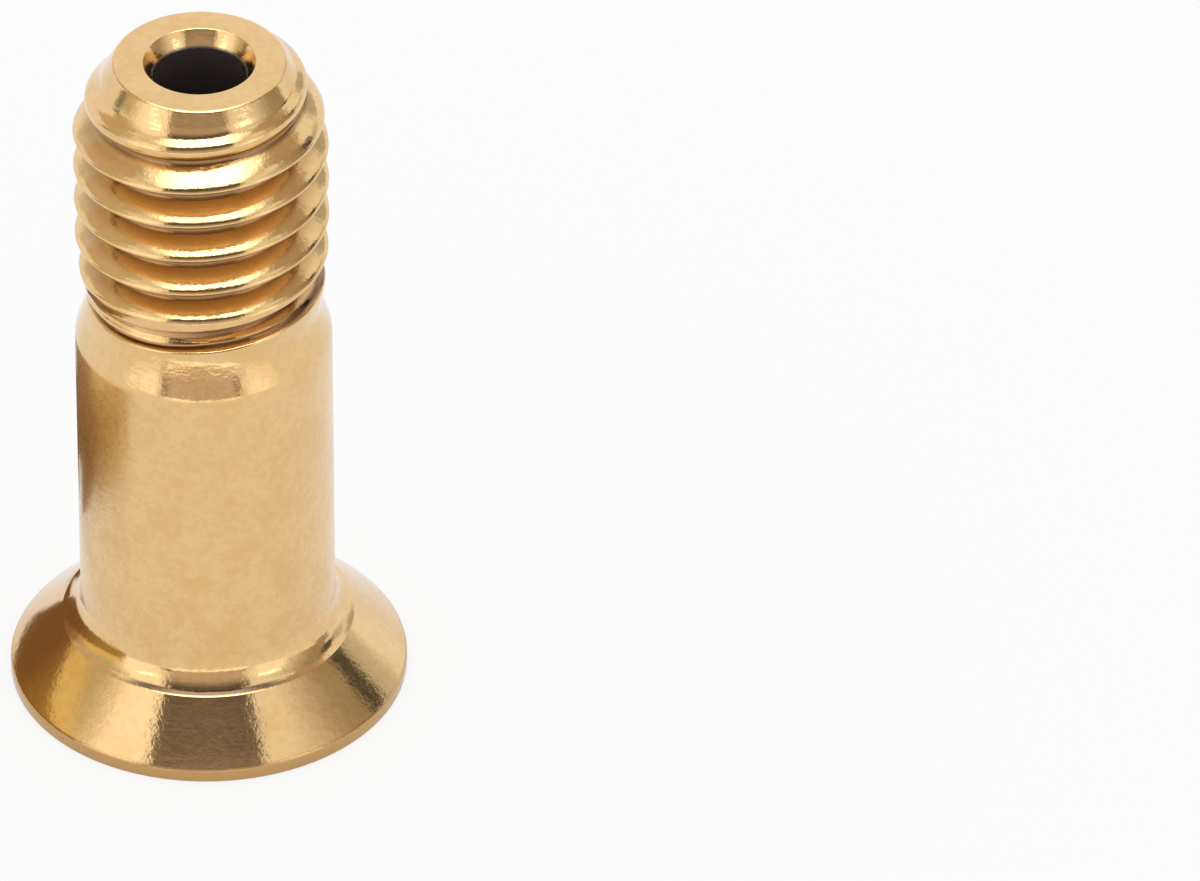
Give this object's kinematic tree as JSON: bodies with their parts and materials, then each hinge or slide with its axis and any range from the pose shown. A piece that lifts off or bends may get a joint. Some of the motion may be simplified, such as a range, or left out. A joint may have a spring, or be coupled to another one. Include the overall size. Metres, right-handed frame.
{
  "type": "derailleur pulley bolt",
  "caption": "Hollow countersunk shoulder bolt with a smooth shank, a right-hand thread and a hexagon socket, on which a derailleur's pulley turns.",
  "frame": {"origin": "centre of the head's flat face, on which the bolt stands", "axes": "+Z along the bolt's axis from the head to the threaded end; +X through a corner of the socket's hexagon; -Y towards the picture's camera"},
  "size_m": [0.0078, 0.0078, 0.0145],
  "materials": {
    "gold_metal": "satin gold-coloured coating over fine turning marks"
  },
  "bodies": {
    "root": {"pulley_bolt": "gold_metal"}
  },
  "joints": []
}
